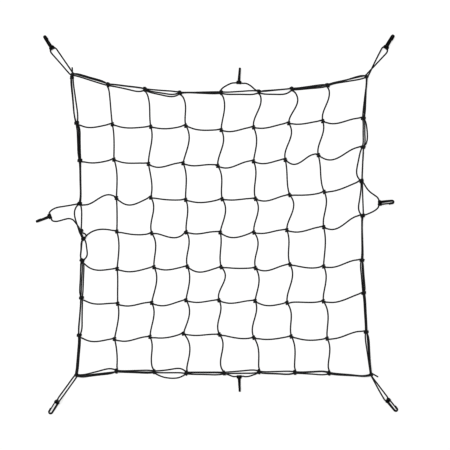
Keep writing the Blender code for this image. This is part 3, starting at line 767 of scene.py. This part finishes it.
def overhand_fist(middle, turn):
    """The closed path of a tight overhand knot round this middle, turned by so many degrees."""
    t = np.linspace(0, 2 * math.pi, FIST_POINTS)
    x = np.sin(t) + 2 * np.sin(2 * t)
    y = np.cos(t) - 2 * np.cos(2 * t)
    angle = math.radians(turn)
    flat_x = (x * math.cos(angle) - y * math.sin(angle)) * FIST_SCALE + middle[0]
    flat_y = (x * math.sin(angle) + y * math.cos(angle)) * FIST_SCALE + middle[1]
    return np.column_stack((flat_x, flat_y, FIST_MIDDLE - np.sin(3 * t) * FIST_RISE))


def loose_end(middle, start, heading, length):
    """A tail that leaves the knot level, sinks to the floor and ends a little way out."""
    way = np.array((math.cos(math.radians(heading)), math.sin(math.radians(heading))))
    reach = np.linspace(0, length, TAIL_POINTS)
    unsunk = fading(np.clip(reach - TAIL_LEVEL, 0, None), length - TAIL_LEVEL - TAIL_FLAT)
    heights = CORD_RADIUS + (FIST_MIDDLE - CORD_RADIUS) * unsunk
    return with_heights(middle + np.array(start) * MM + np.outer(reach * MM, way), heights)


for name, place in CORNER_KNOTS.items():
    middle = knot(*place)
    paths = [overhand_fist(middle, FIST_TURN[name])]
    if name in SECOND_FIST:
        second = middle + np.array(SECOND_FIST[name]) * MM
        paths.append(overhand_fist(second, FIST_TURN[name] + SECOND_TURN))
    if name in TAILS:
        paths.append(loose_end(middle, *TAILS[name]))
    net_cord(f"tied_corner_{name}", f"corner_knot_{name}", paths)

# --- The snap hooks ----------------------------------------------------------------------------
# Each hook is one black nylon moulding: a flat spine that turns over into a nose, a block that
# carries the gate, and a flared eye for the cord. It is modelled once, lying along X.

BODY_WIDTH = 9.0 * MM
TIP_WIDTH = 5.6 * MM
HOOK_HALF = 7.5 * MM
SPINE_THICKNESS = 3.9 * MM
TIP_MIDDLE = 38.5 * MM
NOSE_BACK = 31.0 * MM
SPINE_ROOT = (-1 * MM, 3 * MM)  # from and to, along X
SPINE_STATIONS = 5
TIP_STEPS = 14
# Parts of the hook, by their lowest and highest X and Z in millimetres.
LIP = ((27.6, 6.3), (33.0, 7.5))
BLOCK = ((-2.4, -7.4), (5.9, 6.7))
SLOT = ((1.1, 2.2), (9.0, 9.0))
POCKET = ((11.0, -6.6), (30.0, -4.5))
LIP_SIDE = 0.4 * MM  # how much narrower than the nose and the spine the lip and the block are
BLOCK_SIDE = 0.2 * MM
SLOT_WIDTH = 5.0 * MM
POCKET_DEPTH = 0.7 * MM
# Sections of the eye and of its bore: how far along it in millimetres, and the radius there.
EYE_SECTIONS = ((4.0, 4.75), (5.6, 4.95), (7.4, 5.5))
BORE_SECTIONS = ((3.0, 2.8), (5.2, 3.1), (6.6, 3.7), (7.8, 4.6))
EYE_SIDES = 40
PIN_RADIUS = 1.2 * MM
PIN_PROUD = 0.3 * MM
PIN_SIDES = 24
# How far each part's edges are rounded, and in how many facets.
SPINE_ROUNDING = (1.1 * MM, 4)
LIP_ROUNDING = (0.35 * MM, 2)
BLOCK_ROUNDING = (1.3 * MM, 4)
EYE_ROUNDING = (0.5 * MM, 2)
POCKET_ROUNDING = (0.3 * MM, 2)
PIN_ROUNDING = (0.2 * MM, 2)
BEVEL_ANGLE = math.radians(35)
SMOOTH_ANGLE = math.radians(32)
FACING = 0.9  # a face faces along an axis if its normal has more of that axis than this


def only(piece):
    """Makes this piece the one that operators work on."""
    bpy.ops.object.select_all(action="DESELECT")
    piece.select_set(True)
    bpy.context.view_layer.objects.active = piece


def pick_faces(piece, wanted):
    """Selects, in edit mode, the faces whose middle and normal are wanted."""
    bpy.ops.object.mode_set(mode="EDIT")
    bpy.ops.mesh.select_mode(type="FACE")
    bpy.ops.mesh.select_all(action="DESELECT")
    bpy.ops.object.mode_set(mode="OBJECT")
    for face in piece.data.polygons:
        face.select = bool(wanted(face.center, face.normal))
    bpy.ops.object.mode_set(mode="EDIT")


def modified(piece, kind, **settings):
    """Adds a modifier to a piece and applies it."""
    modifier = piece.modifiers.new(kind.lower(), kind)
    for name, value in settings.items():
        setattr(modifier, name, value)
    only(piece)
    bpy.ops.object.modifier_apply(modifier=modifier.name)


def bevelled(piece, width, segments):
    settings = {"limit_method": "ANGLE", "angle_limit": BEVEL_ANGLE}
    modified(piece, "BEVEL", width=width, segments=segments, **settings)


def smoothed(piece):
    only(piece)
    bpy.ops.object.shade_smooth_by_angle(angle=SMOOTH_ANGLE)
    return piece


def block(low, high, width, rounding=None):
    """A block in the hook's frame, rounded if asked. low and high are X and Z in millimetres."""
    middle = [(low[axis] + high[axis]) / 2 * MM for axis in (0, 1)]
    size = [(high[axis] - low[axis]) * MM for axis in (0, 1)]
    bpy.ops.mesh.primitive_cube_add(size=1, location=(middle[0], 0, middle[1]))
    piece = bpy.context.object
    piece.scale = (size[0], width, size[1])
    bpy.ops.object.transform_apply()
    if rounding:
        bevelled(piece, *rounding)
    return piece


def round_bar(x, z, radius, width, sides):
    """A round bar that lies across the hook here."""
    bpy.ops.mesh.primitive_cylinder_add(
        vertices=sides, radius=radius, depth=width, location=(x, 0, z), rotation=(math.pi / 2, 0, 0)
    )
    bpy.ops.object.transform_apply()
    return bpy.context.object


def flared(sections):
    """A round form along the bore of the eye, through these sections on both sides."""
    first, radius = sections[0]
    piece = round_bar(0, EYE_Z, radius * MM, 2 * first * MM, EYE_SIDES)
    for side in (-1, 1):
        reach, wide = first, radius
        for further, wider in sections[1:]:
            pick_faces(piece, lambda middle, normal: normal.y * side > FACING)
            move = {"value": (0, side * (further - reach) * MM, 0)}
            bpy.ops.mesh.extrude_region_move(TRANSFORM_OT_translate=move)
            share = wider / wide
            middle = (0, side * further * MM, EYE_Z)
            bpy.ops.transform.resize(value=(share, 1, share), center_override=middle)
            bpy.ops.object.mode_set(mode="OBJECT")
            reach, wide = further, wider
    return piece


def joined(piece, other, operation="UNION"):
    """Joins another solid to this one, or cuts it out, and removes the other."""
    modified(piece, "BOOLEAN", operation=operation, object=other, solver="EXACT")
    bpy.data.objects.remove(other, do_unlink=True)


def along_hook(piece, distance, width):
    """Extrudes the hook's end face along X, to this width."""
    wide = max(abs(vertex.co.y) for vertex in piece.data.vertices if vertex.select) * 2
    bpy.ops.object.mode_set(mode="EDIT")
    bpy.ops.mesh.extrude_region_move(TRANSFORM_OT_translate={"value": (distance, 0, 0)})
    bpy.ops.transform.resize(value=(1, width / wide, 1), center_override=(0, 0, 0))
    bpy.ops.object.mode_set(mode="OBJECT")


def width_at(x):
    return BODY_WIDTH + (TIP_WIDTH - BODY_WIDTH) * x / (TIP_MIDDLE + HOOK_HALF)


def model_hook():
    root, start = SPINE_ROOT
    middle = ((root + start) / 2, 0, -HOOK_HALF + SPINE_THICKNESS / 2)
    bpy.ops.mesh.primitive_cube_add(size=1, location=middle)
    hook = bpy.context.object
    hook.scale = (start - root, BODY_WIDTH, SPINE_THICKNESS)
    bpy.ops.object.transform_apply()
    pick_faces(hook, lambda middle, normal: normal.x > FACING)
    bpy.ops.object.mode_set(mode="OBJECT")
    step = (TIP_MIDDLE - start) / SPINE_STATIONS
    for station in range(1, SPINE_STATIONS + 1):
        along_hook(hook, step, width_at(start + step * station))
    bpy.ops.object.mode_set(mode="EDIT")
    bpy.ops.mesh.spin(steps=TIP_STEPS, angle=math.pi, center=(TIP_MIDDLE, 0, 0), axis=(0, 1, 0))
    bpy.ops.object.mode_set(mode="OBJECT")
    along_hook(hook, NOSE_BACK - TIP_MIDDLE, width_at(NOSE_BACK))
    bevelled(hook, *SPINE_ROUNDING)
    joined(hook, block(*LIP, width_at(NOSE_BACK) - LIP_SIDE, LIP_ROUNDING))
    joined(hook, block(*BLOCK, BODY_WIDTH - BLOCK_SIDE, BLOCK_ROUNDING))
    eye = flared(EYE_SECTIONS)
    bevelled(eye, *EYE_ROUNDING)
    joined(hook, eye)
    joined(hook, flared(BORE_SECTIONS), "DIFFERENCE")
    joined(hook, block(*SLOT, SLOT_WIDTH), "DIFFERENCE")
    for side in (-1, 1):
        pocket = block(*POCKET, 2 * POCKET_DEPTH, POCKET_ROUNDING)
        pocket.location.y = side * width_at((POCKET[0][0] + POCKET[1][0]) / 2 * MM) / 2
        joined(hook, pocket, "DIFFERENCE")
    pin = round_bar(*GATE_PIVOT, PIN_RADIUS, BODY_WIDTH + PIN_PROUD, PIN_SIDES)
    bevelled(pin, *PIN_ROUNDING)
    joined(hook, pin)
    return smoothed(hook)


# The gate is a tongue of the same nylon on a pin through the block. It closes up under the nose's
# lip, and its outer face has a shallow finger groove.

TONGUE = ((0.4, 3.8), (30.6, 5.85))
GROOVE = ((9.0, 5.5), (25.5, 7.0))
TONGUE_WIDTH = 4.4 * MM
GROOVE_WIDTH = 2.6 * MM
KNUCKLE_RADIUS = 1.85 * MM
KNUCKLE_SIDES = 28
TONGUE_ROUNDING = (0.45 * MM, 3)
GROOVE_ROUNDING = (0.2 * MM, 2)
KNUCKLE_ROUNDING = (0.25 * MM, 2)


def model_gate():
    gate = block(*TONGUE, TONGUE_WIDTH, TONGUE_ROUNDING)
    knuckle = round_bar(*GATE_PIVOT, KNUCKLE_RADIUS, TONGUE_WIDTH, KNUCKLE_SIDES)
    bevelled(knuckle, *KNUCKLE_ROUNDING)
    joined(gate, knuckle)
    joined(gate, block(*GROOVE, GROOVE_WIDTH, GROOVE_ROUNDING), "DIFFERENCE")
    return smoothed(gate)


# The nylon is satin, with the fine grain of its mould, and a little paler where it is rubbed.

NYLON = (0.007, 0.007, 0.0075, 1)
RUBBED = (0.024, 0.024, 0.025, 1)
GRAIN_NOISE = (2600.0, 2.0)
RUB_NOISE = (95.0, 4.0)
RUB_GAIN = 2.2  # the nylon is rubbed where noise times the gain is above the cut
RUB_CUT = 0.95
GRAIN_BUMP = (0.35, 0.06 * MM)
HOOK_ROUGHNESS = 0.36
GATE_ROUGHNESS = 0.30
RUB_ROUGHNESS = 0.12
GRAIN_ROUGHNESS = 0.08


def moulded_nylon(name, roughness):
    finish = Finish(name)
    grain = finish.noise(*GRAIN_NOISE)
    cloud = finish.noise(*RUB_NOISE)
    rub = (cloud * RUB_GAIN - RUB_CUT).math("MAXIMUM", 0.0).math("MINIMUM", 1.0)
    finish.surface(Base_Color=finish.mix(rub, NYLON, RUBBED))
    finish.surface(Normal=finish.bump(*GRAIN_BUMP, grain), Specular_IOR_Level=0.35)
    finish.surface(Roughness=rub * RUB_ROUGHNESS + grain * GRAIN_ROUGHNESS + roughness)
    return finish.material


hook_kinds = (
    ("hook", model_hook(), moulded_nylon("moulded_nylon_hook", HOOK_ROUGHNESS)),
    ("gate", model_gate(), moulded_nylon("moulded_nylon_gate", GATE_ROUGHNESS)),
)
for name, place in hook_frames.items():
    for kind, model, material in hook_kinds:
        mesh = model.data.copy()
        mesh.transform(place)
        mesh.materials.append(material)
        piece = bpy.data.objects.new(f"snap_{kind}_{name}", mesh)
        bpy.context.scene.collection.objects.link(piece)
        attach(piece, "net" if kind == "hook" else f"gate_{name}")
        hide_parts(f"{kind}_{name}")
for _, model, _ in hook_kinds:
    bpy.data.objects.remove(model, do_unlink=True)

# --- The loops that carry the hooks ------------------------------------------------------------
# The hook cord leaves each corner knot, and the middle of each edge, as a loop that goes through
# the eye of a hook and back. It is limp and lies on the floor as far as the hook lets it.

# How far each corner loop's strands are to the left of the loop's heading, and above the floor,
# where they leave the knot, in millimetres.
CORNER_STRANDS = {
    "back_left": ((6, 5), (-4, 10)),
    "back_right": ((-3, 7), (3, 2)),
    "front_left": ((4, 6), (-4, 2)),
    "front_right": ((-1, 2), (-2, 7)),
}
CORNER_RADIUS = 7.3 * MM  # of the rim of a corner knot, where the strands leave it
KNOT_SHARE = 0.5  # how much closer together they are inside it
STRAND_SAG = ((0.42, 1.0), (0.7, 0.8))  # the share of the way to the eye, and of the way down
# Millimetres along the bore from the middle of the eye, and back towards the net.
CORNER_PASSAGE = ((10.9, 14), (10.9, 8.5), (10.4, 5.6), (8.9, 2.9), (6.2, 0.8), (2.5, 0))
SIDE_PASSAGE = ((11, 1.8), (6.5, 0.4), (2.5, 0))
# A side loop's way from its first knot to the eye, and from the eye to its last knot. It is on the
# floor where there is no third number, its height.
SIDE_ROUTES = {
    "back": (
        ((12, 415), (17, 422), (26, 428), (37, 434), (48, 438)),
        ((89, 437), (99, 433), (110, 425), (119, 416)),
    ),
    "front": (
        ((31, -463), (43, -469), (53, -472)),
        ((87, -472), (99, -471), (111, -467), (122, -462)),
    ),
    "left": (
        ((-438, 62), (-455, 59), (-473, 56), (-496, 52), (-511, 45)),
        (
            (-510, 11), (-498, 9), (-484, 12), (-470, 16), (-458, 18),
            (-446, 14), (-436, 3), (-427, -10), (-420, -22),
        ),
    ),
    "right": (
        ((456, 125), (465, 111), (475, 100), (487, 91, 6), (496, 83.5, 13)),
        ((499, 51), (488, 42), (474, 35), (464, 31, 4)),
    ),
}


def in_eye(place, along=0, back=0):
    """A point by the eye of a hook: millimetres along its bore, and back towards the net."""
    return np.array(place @ Vector((-back * MM, along * MM, EYE_Z)))


def through_eye(place, passage, side):
    """The way into the eye, from the left of the hook's heading (1) or its right (-1)."""
    return [in_eye(place, side * along, back) for along, back in passage]


def corner_route(name):
    """A corner loop's way from inside its knot to the hook's eye, through it, and back."""
    place = hook_frames[name]
    middle = knot(*CORNER_KNOTS[name])
    toward = unit(np.array(place.translation.xy) - middle)
    left = -right_of(toward)
    halves = []
    for side, (offset, height) in zip((1, -1), CORNER_STRANDS[name]):
        aside = max(abs(offset) * MM - CORD_RADIUS, 0)
        reach = math.sqrt(CORNER_RADIUS**2 - aside**2)
        start = np.array((*(middle + toward * reach + left * offset * MM), height * MM))
        passage = through_eye(place, CORNER_PASSAGE, side)
        strand = []
        for step, sunk in STRAND_SAG:
            point = start + (passage[0] - start) * step
            point[2] += (CORD_RADIUS - point[2]) * sunk
            strand.append(point)
        inside = np.array((*(middle + left * offset * MM * KNOT_SHARE), height * MM))
        halves.append([inside, start, *strand, *passage])
    return [*halves[0], in_eye(place), *halves[1][::-1]]


def side_route(name):
    """A side loop's way from one edge knot to the hook's eye, through it, and to the next knot."""
    place = hook_frames[name]
    on_floor = CORD_RADIUS / MM
    ways = [[np.array((*point, on_floor)[:3]) * MM for point in way] for way in SIDE_ROUTES[name]]
    start, end = side_knots(name)[LOOP_CELL[name] : LOOP_CELL[name] + 2]
    first = -1 if np.array(place.col[1].xy) @ (end - start) > 0 else 1
    start, end = (np.array((*point, CROSSING_MIDDLE)) for point in (start, end))
    way_in = through_eye(place, SIDE_PASSAGE, first)
    way_out = through_eye(place, SIDE_PASSAGE, -first)[::-1]
    return [start, *ways[0], *way_in, in_eye(place), *way_out, *ways[1], end]


for name in HOOK_NAMES:
    route = smooth_route(corner_route(name) if name in CORNER_KNOTS else side_route(name))
    if name not in CORNER_KNOTS:
        route = lay(route[:, :2], route[:, 2], LOOP_HUMP_REACH, under_hook_cord)
    loop = net_cord(f"loop_cord_{name}", f"loop_{name}", [route])

# --- The floor and the light -------------------------------------------------------------------
# The net lies on a white light table under a large soft light that is almost overhead, with an even
# pale sky round it, so that it has almost no shadow.

FLOOR_SIZE = 14.0
FLOOR_WHITE = (0.8, 0.8, 0.8, 1)
FLOOR_GLOW = 0.66
SKY_STRENGTH = 0.2
KEY_PLACE = (-0.9, 0.8, 6.0)
KEY_SIZE = 2.5
KEY_POWER = 116.0
VIEW_GAMMA = 0.69

bpy.ops.object.select_all(action="DESELECT")
bpy.ops.mesh.primitive_plane_add(size=FLOOR_SIZE, location=(0, 0, 0))
floor = bpy.context.object
floor.name = "floor"
floor_finish = Finish("plain_white_floor")
floor_finish.surface(Base_Color=FLOOR_WHITE, Roughness=0.9, Specular_IOR_Level=0.0)
floor_finish.surface(Emission_Color=(1, 1, 1, 1), Emission_Strength=FLOOR_GLOW)
floor.data.materials.append(floor_finish.material)

sky = bpy.data.worlds.new("white_sky")
sky.use_nodes = True
sky.node_tree.nodes["Background"].inputs["Color"].default_value = (1, 1, 1, 1)
sky.node_tree.nodes["Background"].inputs["Strength"].default_value = SKY_STRENGTH
bpy.context.scene.world = sky
key_data = bpy.data.lights.new("soft_key", "AREA")
key_data.size = KEY_SIZE
key_data.energy = KEY_POWER
key = bpy.data.objects.new("soft_key", key_data)
key.location = KEY_PLACE
key.rotation_euler = Vector(KEY_PLACE).to_track_quat("Z", "Y").to_euler()
bpy.context.scene.collection.objects.link(key)
bpy.context.scene.view_settings.view_transform = "Standard"
bpy.context.scene.view_settings.gamma = VIEW_GAMMA
